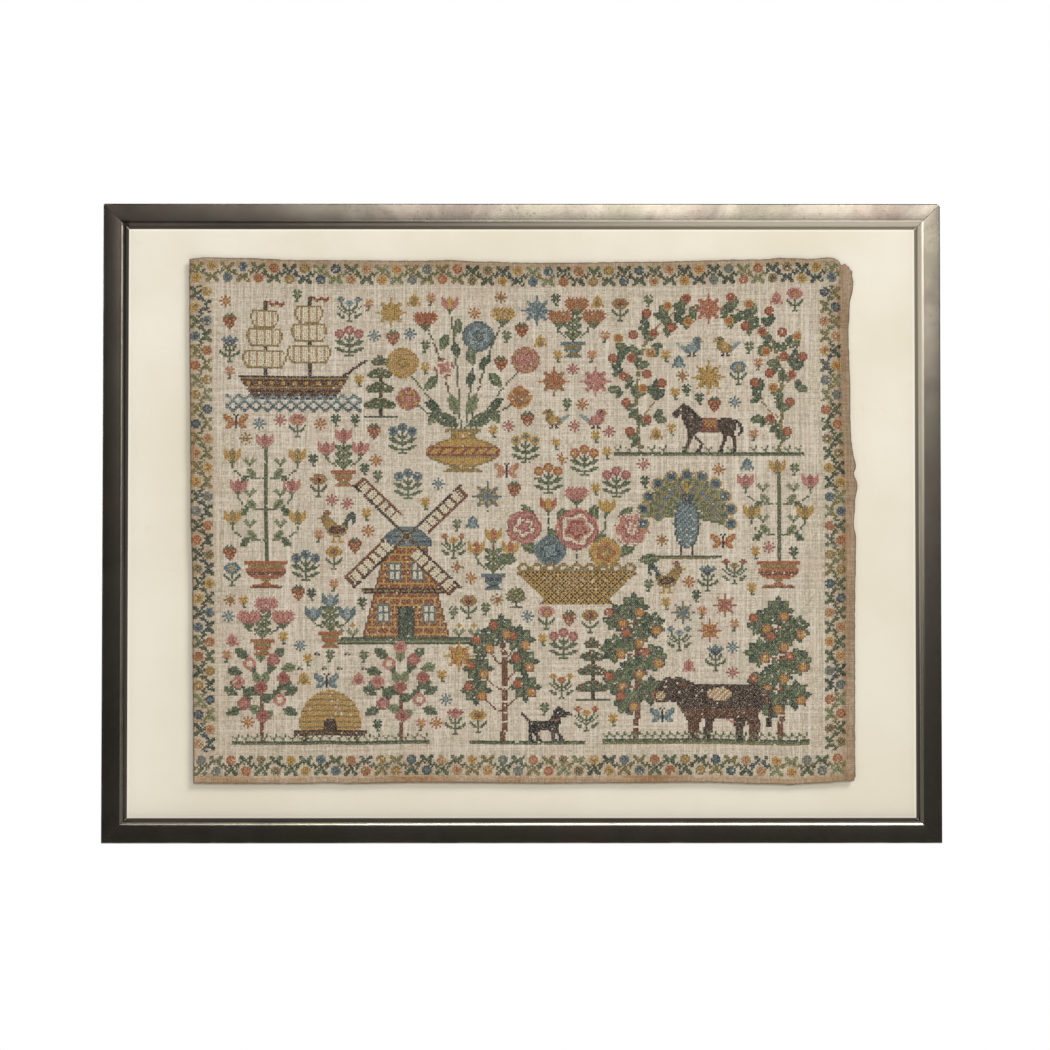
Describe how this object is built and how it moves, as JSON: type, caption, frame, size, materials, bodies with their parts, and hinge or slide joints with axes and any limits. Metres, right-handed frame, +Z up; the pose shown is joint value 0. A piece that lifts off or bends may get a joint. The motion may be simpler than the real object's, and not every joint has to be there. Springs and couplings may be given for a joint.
{
  "type": "framed cross stitch sampler with its mount board and picture frame",
  "caption": "Linen sampler worked in cross stitch, floated on an ivory mount board in a narrow mitred frame with an antiqued metal leaf finish.",
  "frame": {"origin": "middle of the top rail's flat back, where the frame hangs on the wall", "axes": "+Z up, +X to the right as the picture is seen, +Y out of the back into the wall; the picture faces -Y"},
  "size_m": [0.66, 0.02, 0.5035],
  "materials": {
    "frame_leaf": "wooden moulding with a mottled, antiqued dark silver leaf",
    "mount_card": "matt ivory mount board, faintly mottled",
    "sampler_linen": "plain-weave linen with silk cross stitch, browned towards the edges",
    "backing_hardboard": "smooth brown hardboard"
  },
  "bodies": {
    "root": {"frame_rail_top": "frame_leaf", "frame_rail_bottom": "frame_leaf", "frame_rail_left": "frame_leaf", "frame_rail_right": "frame_leaf", "mount_board": "mount_card", "sampler_cloth": "sampler_linen", "backing_board": "backing_hardboard"}
  },
  "joints": []
}
